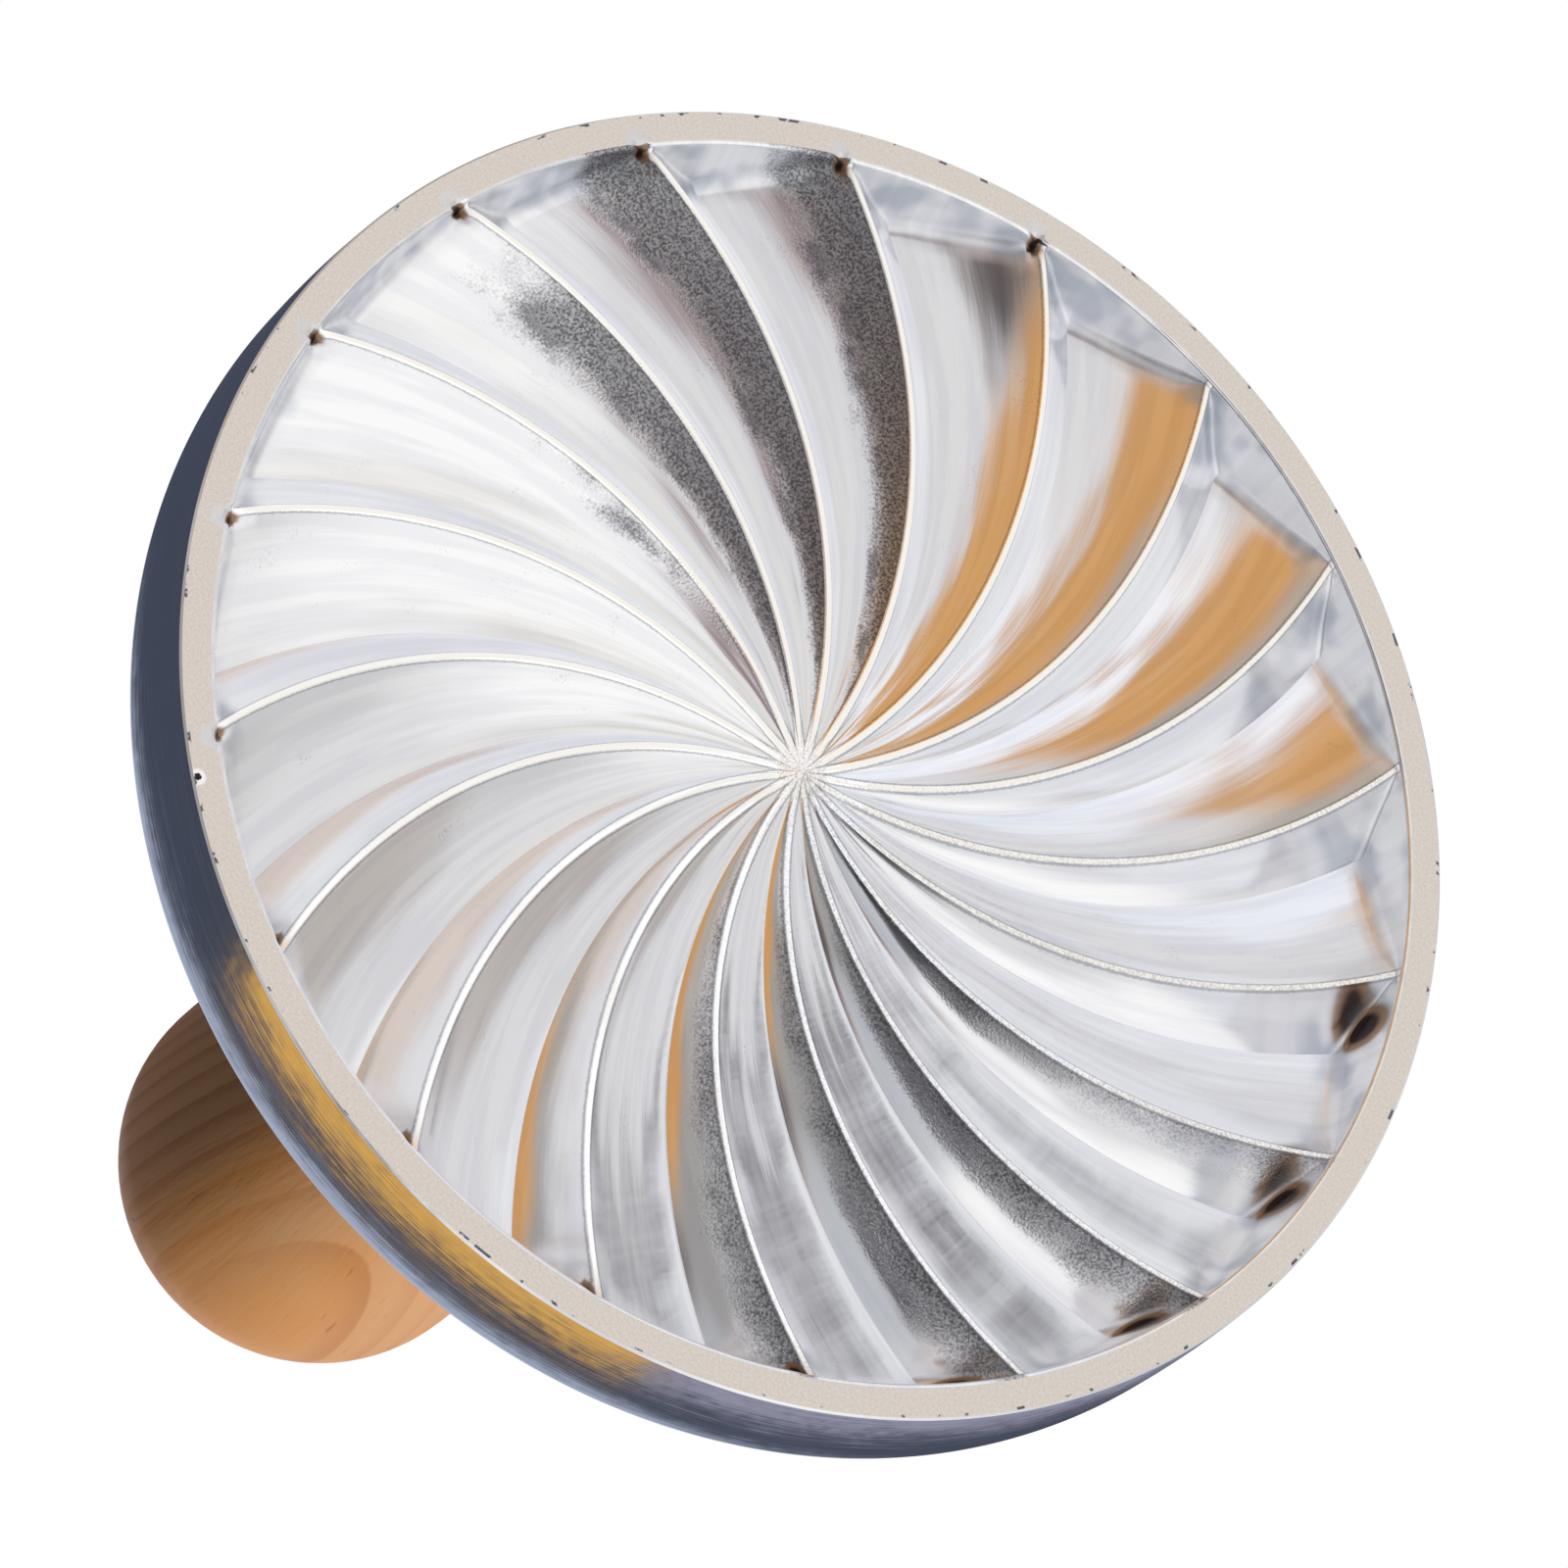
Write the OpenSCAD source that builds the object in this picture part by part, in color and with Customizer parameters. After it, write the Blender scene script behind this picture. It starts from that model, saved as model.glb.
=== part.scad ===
// Cookie stamp: a cast head with a swirl of flutes, on a turned wood handle.
// It stands face down: the ground rim lies on z = 0, and the handle points up +Z.

/* [Head] */
// Outer diameter of the cast head
head_d = 76; // [60:1:100]
// Height of the side wall, from the ground rim to the back
head_h = 7.5; // [6:0.1:12]
// Width of the flat ground rim
rim_w = 2.2; // [1.2:0.1:4]
// Chamfer along the outer edge of the rim
rim_chamfer = 0.2; // [0.1:0.05:0.6]
// Radius along the back edge of the side wall
back_edge_r = 1; // [0.4:0.1:2]

/* [Flutes] */
// Number of flutes round the face
flute_count = 18; // [12:1:24]
// Depth of the flute floors below the rim
recess_depth = 4.1; // [2.5:0.1:4.5]
// Depth of a crest below the rim where it reaches the rim
crest_drop = 0.1; // [0.05:0.05:0.6]
// Angle in degrees that a crest turns through between the centre and the rim
crest_twist = 35; // [0:0.5:50]
// Radius of the flat spot where the crests meet
star_r = 1.5; // [1:0.1:4]
// Width of the land along the top of a crest
crest_land = 0.3; // [0.2:0.05:0.8]
// Slope in degrees of the wall that closes the flutes at the rim
end_wall_slope = 79; // [60:1:84]

/* [Boss] */
// Diameter of the boss behind the face
boss_d = 20; // [16:0.5:30]
// Height of the boss above the back of the head
boss_h = 6; // [4:0.5:12]
// Radius of the fillet at the foot of the boss
boss_fillet_r = 2; // [0.5:0.1:4]
// Metal left between the flute floors and the bottom of the tapped hole
web_t = 1.7; // [1.2:0.1:3]

/* [Hanger bolt] */
// Diameter over the threads of the bolt
bolt_d = 5; // [4:0.5:6]
// Radial running clearance of the machine thread in the boss
thread_gap = 0.05; // [0.02:0.01:0.1]
// Gap between the end of the bolt and the bottom of the tapped hole
bolt_end_gap = 0.5; // [0.2:0.1:1.5]
// Length of the wood thread inside the handle
wood_thread_l = 20; // [12:1:30]
// Bite of the wood thread into the wall of its pilot hole
thread_bite = 0.1; // [0.05:0.05:0.3]
// Chamfer on both ends of the bolt
bolt_chamfer = 0.6; // [0.2:0.1:1]

/* [Washer] */
// Outer diameter of the washer
washer_d = 15; // [12:0.5:20]
// Thickness of the washer
washer_t = 1; // [0.5:0.1:2]
// Radial gap between the washer and the bolt
washer_gap = 0.2; // [0.1:0.05:0.5]

/* [Handle] */
// Length of the wooden handle
handle_l = 72.5; // [60:0.5:100]
// Diameter of the foot that stands on the washer
foot_d = 20; // [16:0.5:26]
// Diameter of the waist above the foot
waist_d = 16.5; // [13:0.5:22]
// Diameter of the knob at its widest
knob_d = 25.2; // [22:0.1:34]
// Height of the rounded end above the widest place of the knob
knob_end_h = 11.4; // [8:0.1:16]
// Radius along the lower edge of the foot
foot_edge_r = 1.2; // [0.5:0.1:2.5]
// Depth left free above the bolt in its pilot hole
pilot_end_gap = 2; // [0.5:0.5:5]

/* [Hidden] */
$fn = 96;

// One overrun serves every cut
cut_over = 0.5;
head_r = head_d / 2;
recess_r = head_r - rim_w;
recess_floor_r = recess_r - recess_depth / tan(end_wall_slope);

// Depth that the crests are rooted in the floor, and depth that their feet end under it
root_depth = 0.2;
foot_sink = 0.05;
// A crest is drawn to just past the foot of the rim, where the end wall covers it
crest_end_r = recess_r + root_depth;
crest_rise_max = recess_depth - crest_drop;
// A crest starts where its top is still as deep in the metal as its feet
crest_start_r = star_r - foot_sink * (recess_r - star_r) / crest_rise_max;
flute_pitch_angle = 360 / flute_count;
ring_count = 12;

boss_top_z = head_h + boss_h;
hole_floor_z = recess_depth + web_t;
washer_top_z = boss_top_z + washer_t;
bolt_low_z = hole_floor_z + bolt_end_gap;
bolt_high_z = washer_top_z + wood_thread_l;

// Heights of the waist and of the widest place above the foot
waist_height_share = 0.3;
waist_z = waist_height_share * handle_l;
widest_z = handle_l - knob_end_h;
outline_steps = 18;
edge_steps = 6;

// Section across one crest: the side before it is long, and the side after it is short and steep.
// Each side takes a share of the pitch, and both are hollow, so they steepen towards the crest.
long_side_share = 0.7;
steep_side_share = 0.3;
// Steepness of each side in the valley, as a share of its mean, and the power that it grows with
long_valley_share = 0.68;
long_power = 2.75;
steep_valley_share = 0.2;
steep_power = 1.5;
long_steps = 5;
steep_steps = 4;

// Most that the land may take of the pitch, which it reaches near the centre
land_cap_share = 0.3;

// Rise of the crests above the flute floors at a radius
function crest_rise(r) = crest_rise_max * (r - star_r) / (recess_r - star_r);

// Angle of a crest at a radius, counted from where it meets the rim
function crest_angle(r) = crest_twist * (1 - r / recess_r);

// Angle that the land takes up at a radius
function land_angle(r) = min(land_cap_share * flute_pitch_angle, crest_land / r * 180 / PI);

// Share of the rise that a hollow side has reached, going from its valley at 0 to its crest at 1
function side_rise(t, valley, power) = valley * t + (1 - valley) * pow(t, power);

// A point of the face at a radius, an angle and a rise above the flute floors
function face_point(r, angle, rise) =
    [r * cos(angle), r * sin(angle), recess_depth - rise];

// Points of one ring of a crest, from its root before to its root after
function crest_ring(r) =
    let (
        mid = crest_angle(r),
        half = land_angle(r) / 2,
        span = flute_pitch_angle - 2 * half,
        rise = crest_rise(r),
        lift = rise + foot_sink,
        first = mid - half - long_side_share * span,
        last = mid + half + steep_side_share * span,
        before = [for (i = [0:long_steps - 1]) let (t = i / long_steps)
            face_point(r, first + t * long_side_share * span,
                side_rise(t, long_valley_share, long_power) * lift - foot_sink)],
        after = [for (i = [steep_steps - 1:-1:0]) let (t = i / steep_steps)
            face_point(r, last - t * steep_side_share * span,
                side_rise(t, steep_valley_share, steep_power) * lift - foot_sink)]
    )
    concat(
        [face_point(r, first, -root_depth)],
        before,
        [face_point(r, mid - half, rise), face_point(r, mid + half, rise)],
        after,
        [face_point(r, last, -root_depth)]
    );

// One curved crest, from under the flat spot at the centre to inside the end wall
module crest() {
    step = (crest_end_r - crest_start_r) / ring_count;
    radii = [for (i = [0:ring_count]) crest_start_r + i * step];
    rings = [for (r = radii) crest_ring(r)];
    n = len(rings[0]);
    last = ring_count * n;
    sides = [for (i = [0:ring_count - 1], j = [0:n - 1])
        let (k = (j + 1) % n, a = i * n + j, b = i * n + k, c = a + n, d = b + n)
        each [[a, d, b], [a, c, d]]];
    inner_cap = [for (j = [1:n - 2]) [0, j, j + 1]];
    outer_cap = [for (j = [1:n - 2]) [last, last + j + 1, last + j]];
    polyhedron(points = [for (ring = rings) each ring], faces = concat(sides, inner_cap, outer_cap));
}

// Half outline of the casting without its face: rim, side wall, back and boss
module head_outline() {
    difference() {
        union() {
            polygon([
                [0, 0],
                [head_r - rim_chamfer, 0],
                [head_r, rim_chamfer],
                [head_r, head_h - back_edge_r],
                [head_r - back_edge_r, head_h],
                [0, head_h]
            ]);
            translate([head_r - back_edge_r, head_h - back_edge_r]) circle(r = back_edge_r);
            square([boss_d / 2, boss_top_z]);
            // The block that the fillet at the foot of the boss is cut from
            square([boss_d / 2 + boss_fillet_r, head_h + boss_fillet_r]);
        }
        translate([boss_d / 2 + boss_fillet_r, head_h + boss_fillet_r]) circle(r = boss_fillet_r);
        // The recess inside the rim, with its sloping end wall
        polygon([
            [-cut_over, -cut_over],
            [recess_r, -cut_over],
            [recess_r, 0],
            [recess_floor_r, recess_depth],
            [-cut_over, recess_depth]
        ]);
        translate([-cut_over, hole_floor_z]) square([cut_over, boss_top_z]);
    }
}

module stamp_head() {
    color([0.78, 0.78, 0.79])
    difference() {
        union() {
            rotate_extrude($fn = 180) head_outline();
            for (k = [0:flute_count - 1]) rotate([0, 0, k * flute_pitch_angle]) crest();
        }
        translate([0, 0, hole_floor_z])
            cylinder(h = boss_top_z - hole_floor_z + cut_over, d = bolt_d + 2 * thread_gap);
    }
}

module washer() {
    color([0.62, 0.62, 0.64])
    translate([0, 0, boss_top_z])
    difference() {
        cylinder(h = washer_t, d = washer_d);
        translate([0, 0, -cut_over])
            cylinder(h = washer_t + 2 * cut_over, d = bolt_d + 2 * washer_gap);
    }
}

module hanger_bolt() {
    tip_d = bolt_d - 2 * bolt_chamfer;
    color([0.6, 0.6, 0.58])
    union() {
        translate([0, 0, bolt_low_z]) cylinder(h = bolt_chamfer, d1 = tip_d, d2 = bolt_d);
        translate([0, 0, bolt_low_z + bolt_chamfer])
            cylinder(h = bolt_high_z - bolt_low_z - 2 * bolt_chamfer, d = bolt_d);
        translate([0, 0, bolt_high_z - bolt_chamfer])
            cylinder(h = bolt_chamfer, d1 = bolt_d, d2 = tip_d);
    }
}

// Smooth step from one radius to another, level at both ends
function blend(a, b, t) = a + (b - a) * (1 - cos(180 * t)) / 2;

// Half outline of the handle, from its foot to its rounded end
function handle_points() = concat(
    [[0, 0], [foot_d / 2 - foot_edge_r, 0]],
    [for (i = [1:edge_steps]) let (a = 90 * i / edge_steps)
        [foot_d / 2 - foot_edge_r + foot_edge_r * sin(a), foot_edge_r * (1 - cos(a))]],
    [for (i = [1:outline_steps]) let (t = i / outline_steps)
        [blend(foot_d, waist_d, t) / 2, foot_edge_r + (waist_z - foot_edge_r) * t]],
    [for (i = [1:outline_steps]) let (t = i / outline_steps)
        [blend(waist_d, knob_d, t) / 2, waist_z + (widest_z - waist_z) * t]],
    [for (i = [1:outline_steps]) let (a = 90 * i / outline_steps)
        [knob_d / 2 * cos(a), widest_z + knob_end_h * sin(a)]]
);

module handle() {
    color([0.76, 0.52, 0.33])
    translate([0, 0, washer_top_z])
    difference() {
        rotate_extrude() polygon(handle_points());
        translate([0, 0, -cut_over])
            cylinder(h = wood_thread_l + pilot_end_gap + cut_over, d = bolt_d - 2 * thread_bite);
    }
}

stamp_head();
washer();
hanger_bolt();
handle();
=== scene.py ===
import math

import bmesh
import bpy
from mathutils import Matrix, Vector


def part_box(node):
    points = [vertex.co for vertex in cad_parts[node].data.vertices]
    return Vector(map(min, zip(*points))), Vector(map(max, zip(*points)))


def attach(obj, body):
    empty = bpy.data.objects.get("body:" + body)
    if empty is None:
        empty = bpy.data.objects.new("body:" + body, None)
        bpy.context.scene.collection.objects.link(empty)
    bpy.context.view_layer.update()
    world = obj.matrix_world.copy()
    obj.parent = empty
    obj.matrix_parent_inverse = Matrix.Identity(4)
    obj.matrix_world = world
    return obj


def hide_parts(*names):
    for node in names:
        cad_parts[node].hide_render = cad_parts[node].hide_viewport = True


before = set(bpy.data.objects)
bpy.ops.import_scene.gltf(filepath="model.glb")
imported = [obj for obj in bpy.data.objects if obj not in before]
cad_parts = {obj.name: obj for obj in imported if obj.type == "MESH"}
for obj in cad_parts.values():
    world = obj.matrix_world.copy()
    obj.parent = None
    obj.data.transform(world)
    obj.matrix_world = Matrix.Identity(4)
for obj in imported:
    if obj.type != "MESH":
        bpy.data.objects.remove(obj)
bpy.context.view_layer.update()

# Camera
# The stamp stands on its face, so the camera looks up at it from below, at the angle of the
# photograph. The roll puts the handle at the lower left, and the long lens keeps the depth flat.
MM = 0.001
camera_azimuth = math.radians(-5.84)
camera_elevation = math.radians(-56.84)
camera_roll = math.radians(-128.95)
camera_distance = 387.8 * MM
camera_aim = Vector((-0.3, -4.07, 0)) * MM

bpy.ops.object.camera_add()
camera = bpy.context.object
camera.name = "photo_camera"
camera.data.lens = 165.25
camera.data.sensor_width = 36
camera.data.clip_start = 10 * MM
camera_back = Vector((
    math.sin(camera_azimuth) * math.cos(camera_elevation),
    -math.cos(camera_azimuth) * math.cos(camera_elevation),
    math.sin(camera_elevation),
))
camera.matrix_world = (
    Matrix.Translation(camera_aim + camera_distance * camera_back)
    @ camera_back.to_track_quat("Z", "Y").to_matrix().to_4x4()
    @ Matrix.Rotation(camera_roll, 4, "Z")
)
bpy.context.scene.camera = camera
bpy.context.scene.view_settings.view_transform = "Standard"

# Face of the stamp head
# The casting's working side: curved flutes that run from a flat spot at the centre to a steep
# wall inside the rim. It is cast in a polished mould, so the flutes are smooth and bright.
head_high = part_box("stamp_head")[1]
head_r = head_high.x
boss_top = head_high.z
rim_w = 2.2 * MM
mouth_r = head_r - rim_w
mouth_round = 0.28 * MM
recess_depth = 4.1 * MM
wall_angle = math.radians(79)
wall_slope = math.tan(wall_angle)
wall_fillet = 0.9 * MM
flute_count = 18
flute_pitch = 2 * math.pi / flute_count
crest_twist = math.radians(35)
crest_drop = 0.4 * MM
star_r = 1.5 * MM
land_w = 0.28 * MM
land_cap_share = 0.15
valley_share = 0.3
steep_steps, long_steps = 16, 30
flute_steps = 1 + steep_steps + long_steps
step_crowding = 1.4
flute_rings, fillet_rings, wall_rings = 54, 12, 6
fillet_room_share = 0.6
rise_rate = (recess_depth - crest_drop) / (mouth_r - star_r)
mouth_reach = mouth_round * math.tan(wall_angle / 2)
mouth_low = mouth_reach * math.sin(wall_angle)
mouth_in_r = mouth_r - mouth_reach * math.cos(wall_angle)


def crest_angle(radius):
    """Angle of a crest at a radius, counted from where it meets the rim."""
    return crest_twist * (1 - radius / mouth_r)


def steep_side(way):
    """Height of the short side at a share of the way from the valley to the land."""
    return 0.6 * way + 0.4 * way ** 2


def long_side(way):
    """Height of the long side, which stays low and rises fast under the land."""
    return 0.68 * way + 0.32 * way ** 2.75


def flute_place(step, radius):
    """Share of the pitch and height of the section, 0 in the valley and 1 on the land."""
    land = min(land_cap_share, land_w / 2 / (radius * flute_pitch))
    if step == 0:
        return -land, 1
    if step <= 1 + steep_steps:
        way = 1 - ((step - 1) / steep_steps) ** step_crowding
        return valley_share + (land - valley_share) * way, steep_side(way)
    way = 1 - (1 - (step - 1 - steep_steps) / long_steps) ** step_crowding
    return valley_share + (1 - land - valley_share) * way, long_side(way)


def flute_profile(ring, height):
    """Radius and height above the table of one ring, on a line that runs along the flute."""
    fall = rise_rate * height
    fall_angle = math.atan(fall)
    foot = (mouth_r * wall_slope - recess_depth - fall * star_r) / (wall_slope - fall)
    half_turn = (wall_angle - fall_angle) / 2
    room = fillet_room_share * (mouth_in_r - foot) / math.cos(wall_angle)
    reach = min(wall_fillet * math.tan(half_turn), room)
    start_r = foot - reach * math.cos(fall_angle)
    start_z = recess_depth - fall * (start_r - star_r)
    if ring <= flute_rings:
        radius = star_r + (start_r - star_r) * ring / flute_rings
        return radius, recess_depth - fall * (radius - star_r)
    bend = reach / math.tan(half_turn)
    angle = fall_angle + 2 * half_turn * min(1, (ring - flute_rings) / fillet_rings)
    radius = start_r + bend * (math.sin(angle) - math.sin(fall_angle))
    z = start_z + bend * (math.cos(angle) - math.cos(fall_angle))
    rest = max(0, ring - flute_rings - fillet_rings) / wall_rings
    return radius + (mouth_in_r - radius) * rest, z + (mouth_low - z) * rest


ring_total = flute_rings + fillet_rings + wall_rings
bpy.ops.object.select_all(action="DESELECT")
bpy.ops.mesh.primitive_grid_add(
    x_subdivisions=ring_total, y_subdivisions=flute_count * flute_steps, size=1
)
head = bpy.context.object
head.name = "stamp_head_cast"
for point in head.data.vertices:
    ring = round((point.co.x + 0.5) * ring_total)
    flute, step = divmod(round((point.co.y + 0.5) * flute_count * flute_steps), flute_steps)
    radius, z = flute_profile(ring, flute_place(step, mouth_r)[1])
    angle = crest_angle(radius) + (flute + flute_place(step, radius)[0]) * flute_pitch
    point.co = radius * math.cos(angle), radius * math.sin(angle), z

# Rim, side wall, back and boss of the stamp head
# The rest of the same casting, drawn out ring by ring from the mouth of the recess: a ground rim,
# a side wall that swells a little behind it, and a boss with the tapped hole for the handle's bolt.
head_h = 7.5 * MM
rim_chamfer = 0.12 * MM
swell_in, swell_h = 0.22 * MM, 5.5 * MM
back_edge_r = 0.8 * MM
boss_r = 10 * MM
boss_fillet_r = 2 * MM
boss_edge = 0.4 * MM
hole_r = 2.55 * MM
hole_floor = 5.8 * MM
hole_chamfer = 0.4 * MM
arc_steps, mouth_steps = 6, 5
mouth_start = 191
wall_bands = 8
weld_gap, slack = 1e-7, 1e-6


def arc(centre_r, centre_z, radius, start, end, steps):
    """Points of an arc in the outline, from one angle in degrees to another."""
    for i in range(steps + 1):
        angle = math.radians(start + (end - start) * i / steps)
        yield centre_r + radius * math.cos(angle), centre_z + radius * math.sin(angle)


def select_open_edges(piece, measure, wanted):
    """Selects the open edges of which both ends measure as wanted."""
    bpy.ops.mesh.select_mode(type="EDGE")
    bpy.ops.mesh.select_all(action="DESELECT")
    mesh = bmesh.from_edit_mesh(piece.data)
    for edge in mesh.edges:
        if edge.is_boundary and all(abs(measure(v.co) - wanted) < slack for v in edge.verts):
            edge.select_set(True)
    bmesh.update_edit_mesh(piece.data)


def select_ring(piece, radius):
    """Selects the open edges of the mesh at one radius."""
    select_open_edges(piece, lambda place: place.xy.length, radius)


def draw_rings(piece, outline):
    """Extrudes the selected ring through each radius and height of an outline."""
    for radius, z in outline:
        bpy.ops.mesh.extrude_edges_move()
        mesh = bmesh.from_edit_mesh(piece.data)
        for vertex in mesh.verts:
            if vertex.select:
                place = vertex.co.xy.normalized() * radius
                vertex.co = place.x, place.y, z
        bmesh.update_edit_mesh(piece.data)


def close_ring():
    """Closes the selected ring with a fan about its centre."""
    bpy.ops.mesh.extrude_edges_move()
    bpy.ops.mesh.merge(type="CENTER")


bpy.ops.object.mode_set(mode="EDIT")
bpy.ops.mesh.select_all(action="SELECT")
bpy.ops.mesh.remove_doubles(threshold=weld_gap)
select_ring(head, star_r)
close_ring()
select_ring(head, mouth_in_r)
wall_top_z = head_h - back_edge_r
draw_rings(head, [
    *arc(mouth_r + mouth_reach, mouth_round, mouth_round, mouth_start, 270, mouth_steps),
    (mouth_r + 2 * mouth_reach, 0),
    (head_r - rim_w / 2, 0),
    (head_r - swell_in - rim_chamfer, 0),
    *(
        (head_r - swell_in * (1 - i / wall_bands) ** 2, rim_chamfer + swell_h * i / wall_bands)
        for i in range(wall_bands)
    ),
    *arc(head_r - back_edge_r, wall_top_z, back_edge_r, 0, 90, arc_steps),
    *arc(boss_r + boss_fillet_r, head_h + boss_fillet_r, boss_fillet_r, 270, 180, arc_steps),
    (boss_r, boss_top - boss_edge),
    (boss_r - boss_edge, boss_top),
    (hole_r + hole_chamfer, boss_top),
    (hole_r, boss_top - hole_chamfer),
    (hole_r, hole_floor),
])
close_ring()
bpy.ops.mesh.select_all(action="SELECT")
bpy.ops.mesh.remove_doubles(threshold=weld_gap)
bpy.ops.mesh.normals_make_consistent(inside=False)
bpy.ops.object.mode_set(mode="OBJECT")

# Notches, residue, painted shade and rough sides of the face
# Small hollows at the crest ends, where the mould was cleared with a cutter, and the sides that
# came out of it rough. Charts tell the casting's materials where these, the residue and painted
# shade, the filed lands with their painted highlight, and the end wall are. The crests are counted
# from the one that ends on the +X axis.
notch_depth = 0.5 * MM
# Place across the crest, place out from the centre, size, and the crests that have the notch
notches = (
    (-0.45 * MM, 35.75 * MM, 0.4 * MM, (15, 16, 17, 0, 1, 2, 3)),
    (0.45 * MM, 35.4 * MM, 0.36 * MM, (11, 12, 13, 14)),
)
# Crests whose corner at the foot of the end wall is darkened brown to black
darkened_corners = (7, 8, 9, 10)
# Strength, place and spread as shares of the pitch, place and spread along the radius
corner_darkening = (
    (1.2, 0.22, 0.1, 35.3 * MM, 0.4 * MM),
    (0.4, 0.17, 0.05, 34 * MM, 0.6 * MM),
)
smooth_centre_r, rough_end_fade = 12 * MM, 8 * MM
to_the_end = 60 * MM
# How rough by each crest, how far from it as a share of the pitch, and out to which radius
rough_long_sides = {
    17: (0.35, 0.3, 26 * MM),
    0: (1, 0.42, 34 * MM),
    1: (1, 0.42, to_the_end),
    2: (0.9, 0.42, to_the_end),
}
rough_steep_sides = {
    8: (0.4, 0.21, to_the_end),
    9: (0.6, 0.22, to_the_end),
    10: (0.6, 0.22, to_the_end),
    11: (0.55, 0.21, to_the_end),
}
smooth_side = (0, 1, 0)
land_fade = 0.25 * MM
end_wall_r, end_wall_fade = 34.1 * MM, 0.7 * MM
face_depth = recess_depth + 0.5 * MM
along_unit = 10 * MM
charts = ("residue_and_shade", "wear", "clumps", "land", "wall")


def hump(away, spread):
    """A smooth hump, 1 in its middle and near 0 past twice its spread."""
    return math.exp(-(away / spread) ** 2)


head.data.attributes.new("swirl", "FLOAT_VECTOR", "POINT")
for name in charts:
    head.data.attributes.new(name, "FLOAT", "POINT")
swirl = head.data.attributes["swirl"].data
residue_and_shade, wear, clumps, land, wall = (head.data.attributes[name].data for name in charts)
for point in head.data.vertices:
    radius = point.co.xy.length
    angle = math.atan2(point.co.y, point.co.x)
    inside = radius < head_r - rim_w / 2 and point.co.z < face_depth
    turn = angle - crest_angle(radius) if inside else angle
    crest = round(turn / flute_pitch)
    share = turn / flute_pitch - crest
    across = share * flute_pitch * radius
    along = radius if inside else point.co.z
    swirl[point.index].vector = math.cos(turn), math.sin(turn), along / along_unit
    if not inside:
        continue
    crest %= flute_count
    for place, out, size, ends in notches:
        if crest in ends:
            near = hump(across - place, size) * hump(radius - out, size)
            point.co.z += notch_depth * near
            # The middle of each notch is darkened: brown residue with painted shade of the hollow.
            residue_and_shade[point.index].value += near
    # Darker towards the corner where the steep side meets the end wall, on these crests.
    if crest in darkened_corners and share > 0:
        for strength, place, width, out, length in corner_darkening:
            near = hump(share - place, width) * hump(radius - out, length)
            residue_and_shade[point.index].value += strength * near
    sides = rough_long_sides if share < 0 else rough_steep_sides
    strength, reach, end_r = sides.get(crest, smooth_side)
    strength *= max(0, 1 - (share / reach) ** 2) * min(1, radius / smooth_centre_r)
    wear[point.index].value = strength * min(1, max(0, end_r - radius) / rough_end_fade)
    clumps[point.index].value = float(share < 0)
    if radius < mouth_r:
        line = max(0, 1 - max(0, abs(across) - land_w / 2) / land_fade)
        # The chart is stronger towards one side of the face: a painted highlight, so that the filed
        # lands turn whiter where the light falls on them.
        land[point.index].value = line * (0.82 + 0.18 * math.cos(turn + 0.3))
        wall[point.index].value = min(1, max(0, (radius - end_wall_r) / end_wall_fade))
bpy.ops.object.shade_smooth_by_angle(angle=math.radians(24))


def feed(tree, socket, value):
    """Sets an input of a node, or links it where the value is another node's output."""
    if isinstance(value, bpy.types.NodeSocket):
        tree.links.new(value, socket)
    elif hasattr(socket.default_value, "__len__") and not hasattr(value, "__len__"):
        socket.default_value = (value,) * len(socket.default_value)
    else:
        socket.default_value = value


def math_node(tree, operation, *values):
    node = tree.nodes.new("ShaderNodeMath")
    node.operation = operation
    for socket, value in zip(node.inputs, values):
        feed(tree, socket, value)
    return node.outputs[0]


def vector_node(tree, operation, *values):
    node = tree.nodes.new("ShaderNodeVectorMath")
    node.operation = operation
    for socket, value in zip(node.inputs, values):
        feed(tree, socket, value)
    number = operation in ("LENGTH", "DISTANCE", "DOT_PRODUCT")
    return node.outputs["Value" if number else "Vector"]


def noise(tree, place, scale, detail):
    """Cloud noise at a place, with a scale for each axis."""
    node = tree.nodes.new("ShaderNodeTexNoise")
    feed(tree, node.inputs["Vector"], vector_node(tree, "MULTIPLY", place, scale))
    node.inputs["Scale"].default_value = 1
    node.inputs["Detail"].default_value = detail
    return node.outputs["Fac"]


def fade(tree, value, start, end, low=0.0, high=1.0):
    """Smooth step of a value, from low at the start to high at the end."""
    node = tree.nodes.new("ShaderNodeMapRange")
    node.interpolation_type = "SMOOTHSTEP"
    for name, given in (
        ("Value", value), ("From Min", start), ("From Max", end), ("To Min", low), ("To Max", high)
    ):
        feed(tree, node.inputs[name], given)
    return node.outputs["Result"]


def blend(tree, share, first, second):
    """Mixes two colours, each a tuple of three or a socket."""
    node = tree.nodes.new("ShaderNodeMix")
    node.data_type = "RGBA"
    feed(tree, node.inputs["Factor"], share)
    for name, given in (("A", first), ("B", second)):
        feed(tree, node.inputs[name], (*given, 1) if isinstance(given, tuple) else given)
    return node.outputs["Result"]


def bump(tree, height, distance):
    """Normal of a surface that a height between 0 and 1 raises by a distance."""
    node = tree.nodes.new("ShaderNodeBump")
    node.inputs["Distance"].default_value = distance
    feed(tree, node.inputs["Height"], height)
    return node.outputs["Normal"]


def attribute(tree, name, output):
    node = tree.nodes.new("ShaderNodeAttribute")
    node.attribute_name = name
    return node.outputs[output]


def object_place(tree):
    return tree.nodes.new("ShaderNodeTexCoord").outputs["Object"]


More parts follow.
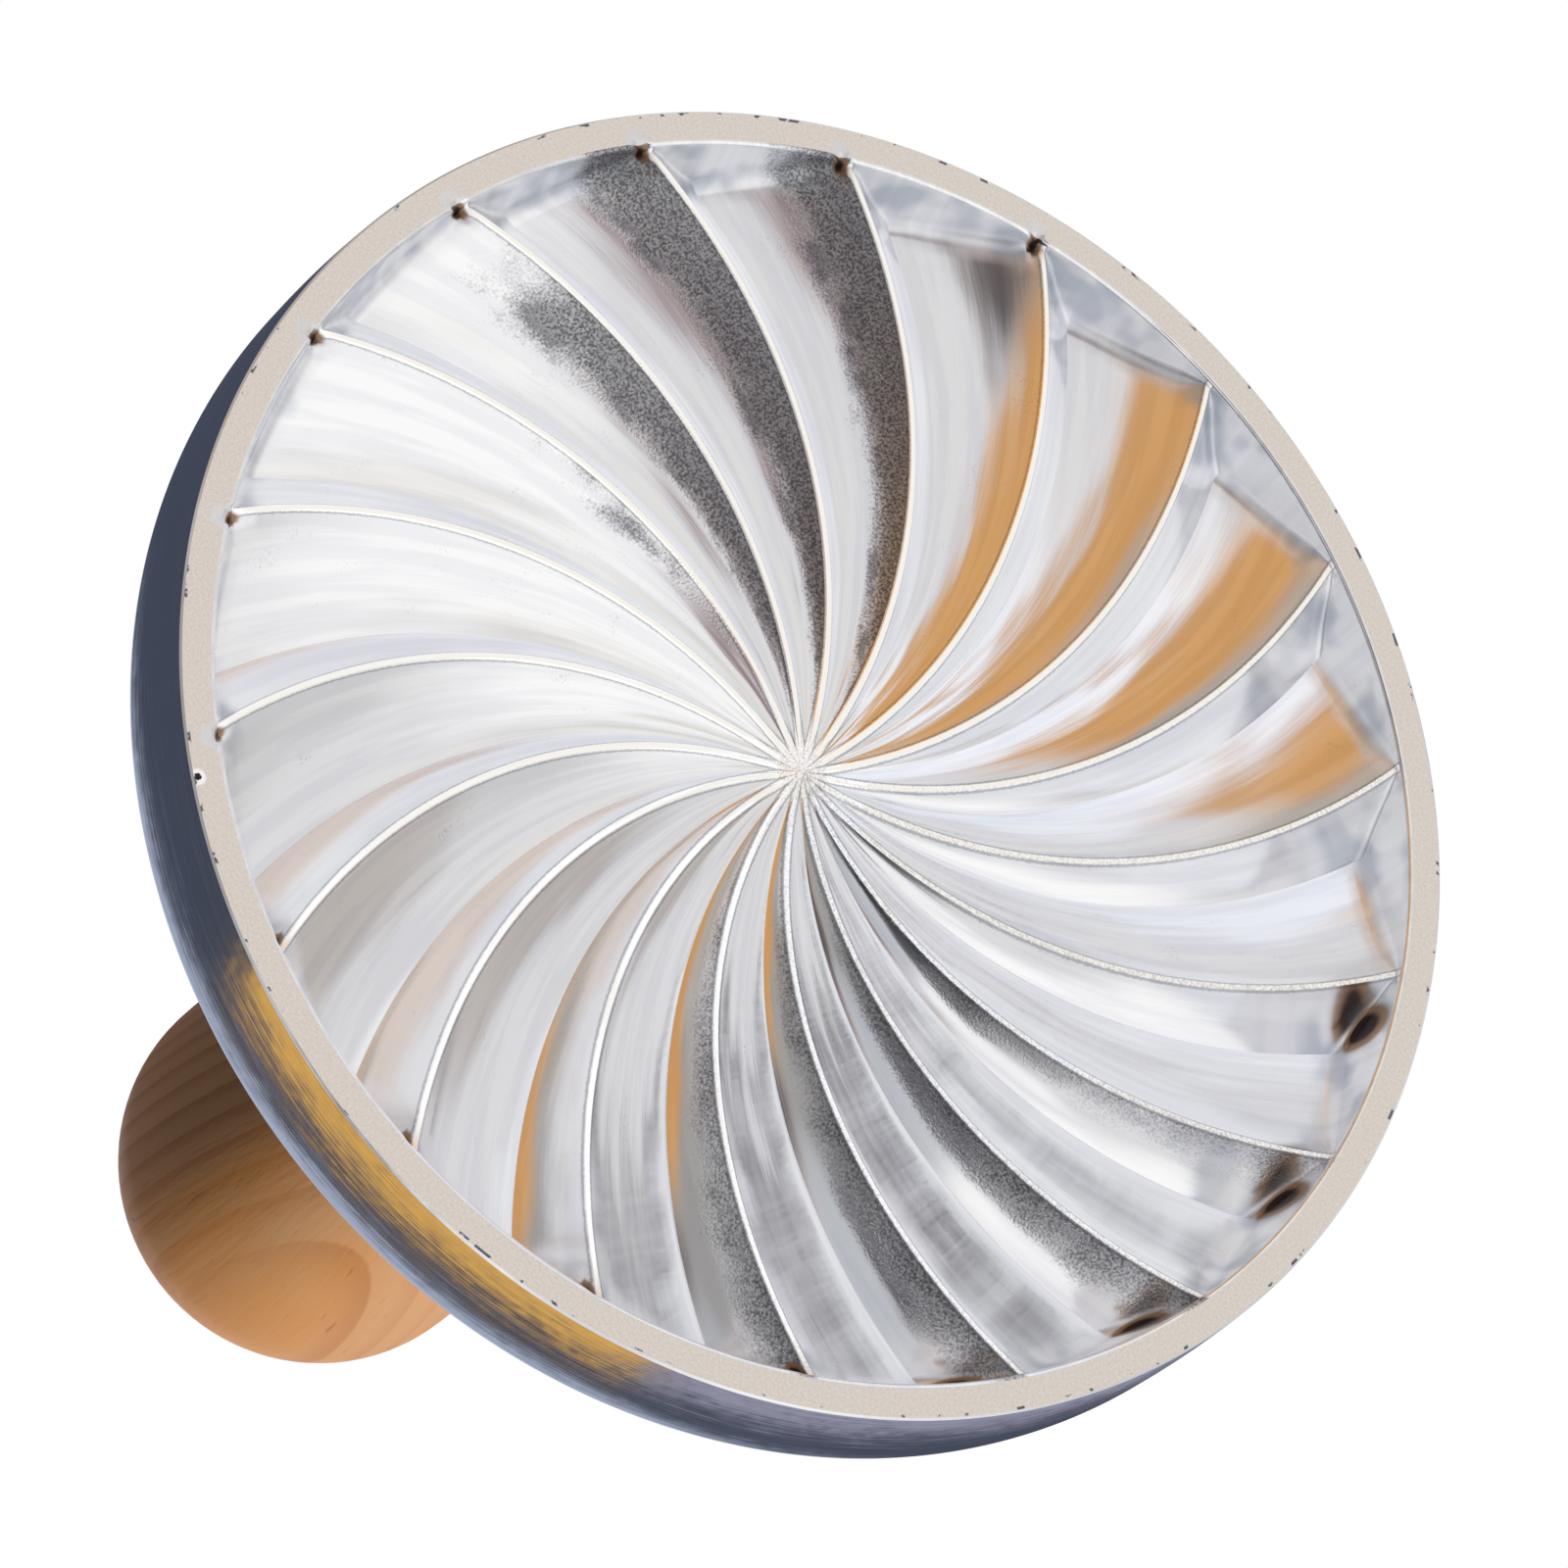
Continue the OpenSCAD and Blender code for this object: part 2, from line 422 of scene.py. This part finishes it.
def new_material(name, base, metallic, roughness):
    """A new material with its shader, ready for the nodes that give it detail."""
    material = bpy.data.materials.new(name)
    material.use_nodes = True
    shader = material.node_tree.nodes["Principled BSDF"]
    shader.inputs["Base Color"].default_value = (*base, 1)
    shader.inputs["Metallic"].default_value = metallic
    shader.inputs["Roughness"].default_value = roughness
    return material, material.node_tree, shader


def darkened_by_residue_and_shade(tree, colour):
    """A colour turned brown, then black, where the notches and corners are darkened: residue with
    painted shade of the hollows in the notches.
    """
    brown_residue_and_shade, black_residue_and_shade = (0.3, 0.19, 0.12), (0.03, 0.02, 0.02)
    darkness = attribute(tree, "residue_and_shade", "Fac")
    colour = blend(tree, fade(tree, darkness, 0.2, 0.5), colour, brown_residue_and_shade)
    return blend(tree, fade(tree, darkness, 0.55, 0.9), colour, black_residue_and_shade)


def polished_flutes():
    """Bright cast metal, brushed along the flutes, with rough grey sides and filed lands, a painted
    highlight on the lands, and painted dark reflections along their edges and on the end walls.
    """
    bright, filed, pits_and_painted_edge_reflection = (0.77, 0.77, 0.78), (1.0, 0.99, 0.97), (0.12, 0.12, 0.13)
    dull_streak, bright_streak = (0.74, 0.74, 0.76), (0.81, 0.81, 0.81)
    painted_wall_reflection, dark_clump = (0.3, 0.35, 0.42), (0.05, 0.06, 0.09)
    speckle_size, wall_reflection_size, wave_height = 0.15 * MM, 2.4 * MM, 0.12 * MM
    material, tree, shader = new_material("polished_flutes", bright, 1, 0.16)
    place = attribute(tree, "swirl", "Vector")
    streaks = noise(tree, place, (32, 32, 0.9), 4)
    waves = noise(tree, place, (9, 9, 1.2), 1)
    speckle = noise(tree, object_place(tree), 1 / speckle_size, 2)
    cloud = noise(tree, place, (16, 16, 4), 2)
    wall = attribute(tree, "wall", "Fac")
    ragged = math_node(tree, "MULTIPLY_ADD", cloud, 0.6, attribute(tree, "wear", "Fac"))
    ragged = math_node(tree, "MULTIPLY_ADD", speckle, 0.5, ragged)
    worn = fade(tree, ragged, 0.65, 1.3)
    rough = math_node(tree, "MULTIPLY_ADD", streaks, 0.16, 0.07)
    rough = math_node(tree, "MULTIPLY_ADD", wall, 0.25, rough)
    feed(tree, shader.inputs["Roughness"], math_node(tree, "MULTIPLY_ADD", worn, 0.2, rough))
    grit = math_node(tree, "MULTIPLY", worn, speckle)
    height = math_node(tree, "MULTIPLY_ADD", streaks, 0.1, waves)
    height = math_node(tree, "MULTIPLY_ADD", grit, 0.16, height)
    feed(tree, shader.inputs["Normal"], bump(tree, height, wave_height))
    colour = blend(tree, fade(tree, streaks, 0.4, 0.6), dull_streak, bright_streak)
    # A painted bluish dark reflection, laid in patches over the end walls.
    wall_reflection = noise(tree, object_place(tree), 1 / wall_reflection_size, 1)
    wall_reflection = math_node(tree, "MULTIPLY", wall, fade(tree, wall_reflection, 0.45, 0.7, 0, 0.5))
    colour = blend(tree, wall_reflection, colour, painted_wall_reflection)
    pits = math_node(tree, "MULTIPLY", worn, fade(tree, speckle, 0.35, 0.65, 0.6, 0.98))
    colour = blend(tree, pits, colour, pits_and_painted_edge_reflection)
    clumps = math_node(tree, "MULTIPLY", attribute(tree, "clumps", "Fac"), worn)
    clumps = math_node(tree, "MULTIPLY", clumps, fade(tree, ragged, 1.2, 1.0))
    clumps = math_node(tree, "MULTIPLY", clumps, fade(tree, cloud, 0.48, 0.62, 0, 0.8))
    colour = blend(tree, clumps, colour, dark_clump)
    edge = math_node(tree, "MULTIPLY_ADD", speckle, 0.4, attribute(tree, "land", "Fac"))
    # Painted dark reflection along both edges of each land, in the same dark colour as the pits.
    colour = blend(tree, fade(tree, edge, 0.35, 0.6, 0, 0.45), colour, pits_and_painted_edge_reflection)
    # The filed lands, with the painted highlight that their chart carries.
    colour = blend(tree, fade(tree, edge, 0.68, 0.95), colour, filed)
    feed(tree, shader.inputs["Base Color"], darkened_by_residue_and_shade(tree, colour))
    return material


def ground_rim():
    """The flat rim, dulled by the grinding belt, with fine grain, nicked edges and one deep pit,
    painted black for the shade inside it and ringed by a painted white highlight on its lip.
    """
    warm, low_grain, high_grain = (0.76, 0.71, 0.66), (0.72, 0.67, 0.62), (0.81, 0.76, 0.71)
    painted_lip_highlight, painted_pit_shade, dark_nick = (1, 1, 1), (0.03, 0.03, 0.03), (0.06, 0.07, 0.1)
    grain_size, nick_size, grain_height = 0.16 * MM, 1.1 * MM, 0.02 * MM
    pit_turn, pit_out, pit_ragged = math.radians(295.5), 37.45 * MM, 0.25 * MM
    lip_highlight_r, pit_r, nicked_w, soft_edge = 0.5 * MM, 0.3 * MM, 0.55 * MM, 0.1 * MM
    material, tree, shader = new_material("ground_rim", warm, 1, 0.52)
    place = object_place(tree)
    grain = noise(tree, place, 1 / grain_size, 3)
    colour = blend(tree, fade(tree, grain, 0.3, 0.7), low_grain, high_grain)
    pit = (pit_out * math.cos(pit_turn), pit_out * math.sin(pit_turn), 0)
    away = vector_node(tree, "DISTANCE", place, pit)
    away = math_node(tree, "MULTIPLY_ADD", grain, pit_ragged, away)
    # A painted white highlight on the lip of the pit, and painted black shade inside it.
    colour = blend(tree, fade(tree, away, 1.3 * lip_highlight_r, lip_highlight_r), colour, painted_lip_highlight)
    colour = blend(tree, fade(tree, away, 1.2 * pit_r, pit_r), colour, painted_pit_shade)
    radius = vector_node(tree, "LENGTH", place)
    nicks = noise(tree, place, 1 / nick_size, 3)
    nicks = math_node(tree, "MULTIPLY", fade(tree, nicks, 0.6, 0.63), 0.9)
    nicked_r = head_r - nicked_w
    edge = fade(tree, radius, nicked_r, nicked_r + soft_edge)
    colour = blend(tree, math_node(tree, "MULTIPLY", nicks, edge), colour, dark_nick)
    feed(tree, shader.inputs["Base Color"], darkened_by_residue_and_shade(tree, colour))
    feed(tree, shader.inputs["Normal"], bump(tree, grain, grain_height))
    return material


def polished_wall():
    """The side wall, polished round on a wheel, so that its fine lines run along it."""
    line_height = 0.05 * MM
    material, tree, shader = new_material("polished_wall", (0.76, 0.76, 0.77), 1, 0.14)
    place = attribute(tree, "swirl", "Vector")
    lines = noise(tree, place, (5, 5, 40), 3)
    cloud = noise(tree, place, (16, 16, 3), 2)
    height = math_node(tree, "MULTIPLY_ADD", lines, 0.15, cloud)
    feed(tree, shader.inputs["Normal"], bump(tree, height, line_height))
    feed(tree, shader.inputs["Roughness"], math_node(tree, "MULTIPLY_ADD", lines, 0.2, 0.04))
    return material


def cast_back():
    """The back as it left the mould, with the grain of the sand or the coating."""
    grain_size, cloud_size, grain_height = 0.35 * MM, 6 * MM, 0.08 * MM
    material, tree, shader = new_material("cast_back", (0.72, 0.72, 0.72), 1, 0.45)
    place = object_place(tree)
    grain = noise(tree, place, 1 / grain_size, 3)
    cloud = noise(tree, place, 1 / cloud_size, 2)
    feed(tree, shader.inputs["Normal"], bump(tree, grain, grain_height))
    feed(tree, shader.inputs["Roughness"], math_node(tree, "MULTIPLY_ADD", cloud, 0.3, 0.3))
    return material


rim_flatness = 0.01 * MM
flute_finish, rim_finish, wall_finish, back_finish = range(4)
for make in (polished_flutes, ground_rim, polished_wall, cast_back):
    head.data.materials.append(make())
for face in head.data.polygons:
    radius = face.center.xy.length
    if radius < mouth_r + mouth_reach and face.center.z < face_depth:
        face.material_index = flute_finish
    elif face.center.z < rim_flatness:
        face.material_index = rim_finish
    elif radius > head_r - back_edge_r:
        face.material_index = wall_finish
    else:
        face.material_index = back_finish
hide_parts("stamp_head")
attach(head, "head")

# Washer
# A flat steel washer between the boss and the end grain of the handle, so that tightening the
# handle doesn't crush the wood. It is stamped, with softly rounded edges.
washer_low, washer_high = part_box("washer")
washer_r = washer_high.x
washer_bore_r = 2.7 * MM
washer_edge, edge_steps = 0.2 * MM, 3
ring_sides = 96


def turned_piece(name, outline, sides):
    """Starts a piece with its first ring and draws it through an outline, in edit mode."""
    bpy.ops.object.select_all(action="DESELECT")
    bpy.ops.mesh.primitive_circle_add(vertices=sides, radius=outline[0][0])
    piece = bpy.context.object
    piece.name = name
    bpy.ops.object.mode_set(mode="EDIT")
    bpy.ops.mesh.select_all(action="SELECT")
    bpy.ops.transform.translate(value=(0, 0, outline[0][1]))
    draw_rings(piece, outline[1:])
    return piece


def finish_piece(piece, body, material, smooth_to):
    """Leaves edit mode with clean normals and hands the piece to its body and slot."""
    bpy.ops.mesh.select_all(action="SELECT")
    bpy.ops.mesh.remove_doubles(threshold=weld_gap)
    bpy.ops.mesh.normals_make_consistent(inside=False)
    bpy.ops.object.mode_set(mode="OBJECT")
    bpy.ops.object.shade_smooth_by_angle(angle=math.radians(smooth_to))
    piece.data.materials.append(material)
    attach(piece, body)


def zinc_steel():
    """Bright zinc plate with a faint mottle."""
    mottle_size, dull, bright = 0.8 * MM, (0.5, 0.51, 0.5), (0.8, 0.79, 0.74)
    material, tree, shader = new_material("zinc_steel", (0.66, 0.66, 0.62), 1, 0.3)
    mottle = noise(tree, object_place(tree), 1 / mottle_size, 3)
    colour = blend(tree, mottle, dull, bright)
    feed(tree, shader.inputs["Base Color"], colour)
    feed(tree, shader.inputs["Roughness"], math_node(tree, "MULTIPLY_ADD", mottle, 0.25, 0.16))
    return material


steel = zinc_steel()
inner_r, outer_r = washer_bore_r + washer_edge, washer_r - washer_edge
under_z, upper_z = washer_low.z + washer_edge, washer_high.z - washer_edge
washer = turned_piece("washer_stamped", [
    (washer_bore_r, under_z),
    *arc(inner_r, under_z, washer_edge, 180, 270, edge_steps),
    *arc(outer_r, under_z, washer_edge, 270, 360, edge_steps),
    *arc(outer_r, upper_z, washer_edge, 0, 90, edge_steps),
    *arc(inner_r, upper_z, washer_edge, 90, 180, edge_steps),
    (washer_bore_r, under_z),
], ring_sides)
finish_piece(washer, "washer", steel, smooth_to=40)
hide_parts("washer")

# Hanger bolt
# A headless bolt with a machine thread in the boss and a coarse wood thread in the handle. It is
# screwed into the handle for good and turns with it.
bolt_low, bolt_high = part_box("hanger_bolt")
bolt_r = bolt_high.x
machine_pitch, machine_depth = 0.8 * MM, 0.45 * MM
wood_pitch, wood_depth = 2.0 * MM, 0.75 * MM
tooth_sharpness = 2.4
bolt_end = 0.6 * MM
point_l, point_r = 4 * MM, 0.5 * MM
bolt_sides, bolt_rows = 32, 320
bolt_l = bolt_high.z - bolt_low.z
thread_change_z = washer_high.z


def thread_radius(angle, z):
    """Radius of the bolt, with a right-handed thread of its own in each half."""
    from_end = min(z - bolt_low.z, bolt_high.z - z)
    if z < thread_change_z:
        turn = (z / machine_pitch - angle / (2 * math.pi)) % 1
        tooth = abs(2 * turn - 1)
        return min(bolt_r - machine_depth * tooth, bolt_r - bolt_end + from_end)
    turn = (z / wood_pitch - angle / (2 * math.pi)) % 1
    tooth = min(1, tooth_sharpness * abs(2 * turn - 1))
    return min(bolt_r - wood_depth * tooth, point_r + (bolt_r - point_r) * from_end / point_l)


bpy.ops.object.select_all(action="DESELECT")
bpy.ops.mesh.primitive_grid_add(x_subdivisions=bolt_sides, y_subdivisions=bolt_rows, size=1)
bolt = bpy.context.object
bolt.name = "hanger_bolt_threaded"
for point in bolt.data.vertices:
    angle = 2 * math.pi * (point.co.x + 0.5)
    z = bolt_low.z + bolt_l * (point.co.y + 0.5)
    radius = thread_radius(angle % (2 * math.pi), z)
    point.co = radius * math.cos(angle), radius * math.sin(angle), z
bpy.ops.object.mode_set(mode="EDIT")
bpy.ops.mesh.select_all(action="SELECT")
bpy.ops.mesh.remove_doubles(threshold=weld_gap)
for end_z in (bolt_low.z, bolt_high.z):
    select_open_edges(bolt, lambda place: place.z, end_z)
    bpy.ops.mesh.edge_face_add()
finish_piece(bolt, "grip", steel, smooth_to=35)
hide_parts("hanger_bolt")

# Handle
# One piece of light hardwood, turned to a knob with a slim waist, sanded and oiled. The growth
# rings run lengthwise, so that they show as long arched bands on the knob.
handle_low, handle_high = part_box("handle")
knob_r = handle_high.x
foot_r, waist_r = 10 * MM, 8.25 * MM
foot_edge_r = 1.2 * MM
knob_end_h = 11.4 * MM
handle_l = handle_high.z - handle_low.z
waist_z = 0.3 * handle_l
widest_z = handle_l - knob_end_h
pilot_r, pilot_depth = 2.4 * MM, 22 * MM
curve_steps = 28


def swell(start_r, start_z, end_r, end_z):
    """Points of a curve from one radius to another, level at both ends."""
    for i in range(1, curve_steps + 1):
        t = i / curve_steps
        ease = (1 - math.cos(math.pi * t)) / 2
        yield start_r + (end_r - start_r) * ease, start_z + (end_z - start_z) * t


outline = [
    (pilot_r, pilot_depth),
    (pilot_r, 0),
    *arc(foot_r - foot_edge_r, foot_edge_r, foot_edge_r, 270, 360, arc_steps),
    *swell(foot_r, foot_edge_r, waist_r, waist_z),
    *swell(waist_r, waist_z, knob_r, widest_z),
]
for i in range(1, curve_steps):
    angle = math.pi / 2 * i / curve_steps
    outline.append((knob_r * math.cos(angle), widest_z + knob_end_h * math.sin(angle)))
handle = turned_piece("handle_turned", [(r, handle_low.z + z) for r, z in outline], ring_sides)
close_ring()
mesh = bmesh.from_edit_mesh(handle.data)
for vertex in mesh.verts:
    if vertex.select:
        vertex.co = 0, 0, handle_high.z
bmesh.update_edit_mesh(handle.data)
select_ring(handle, pilot_r)
close_ring()


def oiled_hardwood():
    """Turned wood: growth rings as planes along the handle, fine pores, and a satin oil."""
    early_wood, late_wood = (0.6, 0.32, 0.15), (0.47, 0.21, 0.085)
    oil_patch, dark_pore = (0.62, 0.26, 0.07), (0.2, 0.08, 0.03)
    ring_spacing, pore_depth = 1.6 * MM, 0.03 * MM
    heart = Vector((0.56, 0.83, 0)) * -60 * MM
    material, tree, shader = new_material("oiled_hardwood", (0.5, 0.27, 0.13), 0, 0.42)
    shader.inputs["Specular IOR Level"].default_value = 0.15
    place = object_place(tree)
    bend = noise(tree, place, (30, 30, 10), 2)
    flat = vector_node(tree, "MULTIPLY", vector_node(tree, "SUBTRACT", place, heart), (1, 1, 0))
    rings = math_node(tree, "DIVIDE", vector_node(tree, "LENGTH", flat), ring_spacing)
    rings = math_node(tree, "MULTIPLY_ADD", bend, 1.1, rings)
    year = math_node(tree, "FRACT", rings)
    late = fade(tree, year, 0.35, 0.95)
    late = math_node(tree, "MULTIPLY", late, fade(tree, year, 1.0, 0.94))
    width = noise(tree, place, (90, 90, 8), 1)
    late = math_node(tree, "MULTIPLY", late, fade(tree, width, 0.25, 0.6))
    colour = blend(tree, late, early_wood, late_wood)
    oiled = fade(tree, noise(tree, place, (110, 110, 25), 2), 0.45, 0.65)
    colour = blend(tree, math_node(tree, "MULTIPLY", oiled, 0.6), colour, oil_patch)
    pores = noise(tree, place, (2600, 2600, 150), 2)
    colour = blend(tree, fade(tree, pores, 0.35, 0.2, 0, 0.45), colour, dark_pore)
    feed(tree, shader.inputs["Base Color"], colour)
    feed(tree, shader.inputs["Normal"], bump(tree, pores, pore_depth))
    return material


finish_piece(handle, "grip", oiled_hardwood(), smooth_to=40)
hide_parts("handle")

# Floor
# A pale table a hair under the stamp. It is see-through from below, where the camera of the
# photograph looks up at the face, and it keeps out of the reflections and the light.
floor_size, floor_gap = 3000 * MM, 0.05 * MM
bpy.ops.object.select_all(action="DESELECT")
bpy.ops.mesh.primitive_plane_add(size=floor_size, location=(0, 0, -floor_gap))
floor = bpy.context.object
floor.name = "floor"
paper, tree, shader = new_material("pale_floor", (0.86, 0.86, 0.85), 0, 0.7)
clear = tree.nodes.new("ShaderNodeBsdfTransparent")
side = tree.nodes.new("ShaderNodeNewGeometry")
choice = tree.nodes.new("ShaderNodeMixShader")
feed(tree, choice.inputs[0], side.outputs["Backfacing"])
feed(tree, choice.inputs[1], shader.outputs[0])
feed(tree, choice.inputs[2], clear.outputs[0])
feed(tree, tree.nodes["Material Output"].inputs["Surface"], choice.outputs[0])
floor.data.materials.append(paper)
floor.visible_diffuse = False
floor.visible_glossy = False
floor.visible_transmission = False
floor.visible_shadow = False

# Studio surroundings
# A white tent with cards, which the polished metal mirrors. It is laid out as a flat chart: its
# middle is straight out of the face, and a place lies as many degrees from the middle as it is
# turned from there. It lights little that is matte, and the camera sees plain white instead.
world = bpy.data.worlds.new("studio")
bpy.context.scene.world = world
world.use_nodes = True
tree = world.node_tree
tent = tree.nodes["Background"]
way = tree.nodes.new("ShaderNodeTexCoord").outputs["Generated"]
parts = tree.nodes.new("ShaderNodeSeparateXYZ")
feed(tree, parts.inputs[0], way)
tilt = math_node(tree, "ARCCOSINE", math_node(tree, "MULTIPLY", parts.outputs["Z"], -1))
tilt = math_node(tree, "DEGREES", tilt)
level = vector_node(tree, "NORMALIZE", vector_node(tree, "MULTIPLY", way, (1, 1, 0)))
chart = vector_node(tree, "MULTIPLY", level, tilt)


def add_card(colour, centre, half, soft, tint):
    """Lays a card with soft edges on the chart, by its centre and half sizes in degrees."""
    away = vector_node(tree, "SUBTRACT", chart, (*centre, 0))
    away = vector_node(tree, "ABSOLUTE", away)
    sides = tree.nodes.new("ShaderNodeSeparateXYZ")
    feed(tree, sides.inputs[0], away)
    across = fade(tree, sides.outputs["X"], half[0] + soft, max(0, half[0] - soft))
    along = fade(tree, sides.outputs["Y"], half[1] + soft, max(0, half[1] - soft))
    return blend(tree, math_node(tree, "MULTIPLY", across, along), colour, tint)


def add_ring_card(colour, turn, half_turn, low_tilt, high_tilt, soft, tint):
    """Lays a card along a part of the ring that the side wall mirrors, in degrees."""
    angle = math.radians(turn)
    facing = vector_node(tree, "DOT_PRODUCT", level, (math.cos(angle), math.sin(angle), 0))
    start, end = (math.cos(math.radians(half_turn + step)) for step in (soft, -soft))
    share = fade(tree, facing, start, end)
    share = math_node(tree, "MULTIPLY", share, fade(tree, tilt, low_tilt - 2, low_tilt + 2))
    share = math_node(tree, "MULTIPLY", share, fade(tree, tilt, high_tilt + 1, high_tilt - 1))
    return blend(tree, share, colour, tint)


white, tent_white = (1.0, 1.0, 1.0), (0.74, 0.74, 0.76)
pale, grey = (0.66, 0.66, 0.66), (0.36, 0.35, 0.34)
cream, beige, warm_grey = (0.78, 0.76, 0.72), (0.5, 0.46, 0.44), (0.44, 0.4, 0.36)
sky, daylight, cool_grey = (0.88, 0.92, 1.0), (0.98, 1.0, 1.06), (0.5, 0.52, 0.56)
charcoal, soot = (0.2, 0.2, 0.2), (0.06, 0.06, 0.07)
brown, dark, orange = (0.32, 0.24, 0.24), (0.1, 0.09, 0.09), (0.66, 0.35, 0.13)
slate, low_sky, gold = (0.05, 0.06, 0.09), (0.4, 0.45, 0.58), (0.74, 0.42, 0.1)
violet, lilac = (0.3, 0.3, 0.4), (0.5, 0.5, 0.58)
mirrored_white, mirrored_mute, orange_mute = (1.05, 1.06, 1.1), 0.85, 0.6
colour = blend(tree, fade(tree, tilt, 118, 138), tent_white, slate)
colour = blend(tree, fade(tree, tilt, 151, 158), colour, low_sky)
# Ring cards: turn and half turn, lower and upper edge, softness
for turn, half_turn, low_tilt, high_tilt, soft, tint in (
    (150, 56, 115, 146, 10, violet),
    (150, 56, 115, 140, 10, lilac),
    (250, 44, 134, 145.8, 5, gold),
):
    colour = add_ring_card(colour, turn, half_turn, low_tilt, high_tilt, soft, tint)
# Cards: centre, half sizes, softness
for centre, half, soft, tint in (
    ((-65, 45), (22, 25), 8, pale),
    ((-60, -12), (16, 24), 8, white),
    ((-30, -6), (24, 30), 8, white),
    ((0, 27), (22, 22), 8, cream),
    ((22, 45), (18, 10), 5, sky),
    ((31, 32), (4, 12), 3, daylight),
    ((-46, 62), (12, 18), 5, beige),
    ((78, 30), (22, 50), 8, warm_grey),
    ((48, -40), (26, 22), 6, grey),
    ((-20, -48), (16, 8), 4, white),
    ((12, -48), (16, 10), 5, cool_grey),
    ((-26, -72), (24, 10), 4, charcoal),
    ((18, -77), (44, 15), 4, soot),
    ((10, -23), (22, 12), 5, brown),
    ((28, -23), (6, 12), 4, dark),
):
    colour = add_card(colour, centre, half, soft, tint)

# Light on its way through the studio
# What the flutes mirror of each other is muted, so that they stay bright, and so is the orange
# card in it. The tent gives the wood and the table almost no light, which is left to the lamps.
ray = tree.nodes.new("ShaderNodeLightPath")
again = fade(tree, ray.outputs["Glossy Depth"], 1, 2)
muted = math_node(tree, "MULTIPLY", again, mirrored_mute)
colour = blend(tree, muted, colour, mirrored_white)
with_orange = add_card(colour, (49, 8), (12, 39), 4, orange)
colour = blend(tree, math_node(tree, "MULTIPLY", again, orange_mute), with_orange, colour)
feed(tree, tent.inputs["Color"], colour)
plain = tree.nodes.new("ShaderNodeBackground")
plain.inputs["Color"].default_value = (1, 1, 1, 1)
mirror_strength, matte_strength = 1.18, 0.03
loss = matte_strength - mirror_strength
strength = math_node(tree, "MULTIPLY_ADD", ray.outputs["Is Diffuse Ray"], loss, mirror_strength)
feed(tree, tent.inputs["Strength"], strength)
seen = tree.nodes.new("ShaderNodeMixShader")
feed(tree, seen.inputs[0], ray.outputs["Is Camera Ray"])
feed(tree, seen.inputs[1], tent.outputs[0])
feed(tree, seen.inputs[2], plain.outputs[0])
feed(tree, tree.nodes["World Output"].inputs["Surface"], seen.outputs[0])

# Lamps
# Three soft lamps light what is matte, and the metal mirrors the tent alone. The strong one stands
# low, on the side of the knob that the photograph shows lit. One hangs over the table, and the
# weakest one fills the shade on the far side.
for name, towards, energy, width in (
    ("low_lamp", (0.97, 0.22, 0.17), 3.6, 40),
    ("table_lamp", (-0.1, 0.1, -1), 2.2, 30),
    ("far_lamp", (0.1, -0.95, -0.3), 1.5, 40),
):
    bpy.ops.object.light_add(type="SUN")
    lamp = bpy.context.object
    lamp.name = name
    lamp.data.energy = energy
    lamp.data.angle = math.radians(width)
    lamp.matrix_world = (-Vector(towards)).to_track_quat("Z", "Y").to_matrix().to_4x4()
    lamp.visible_glossy = False
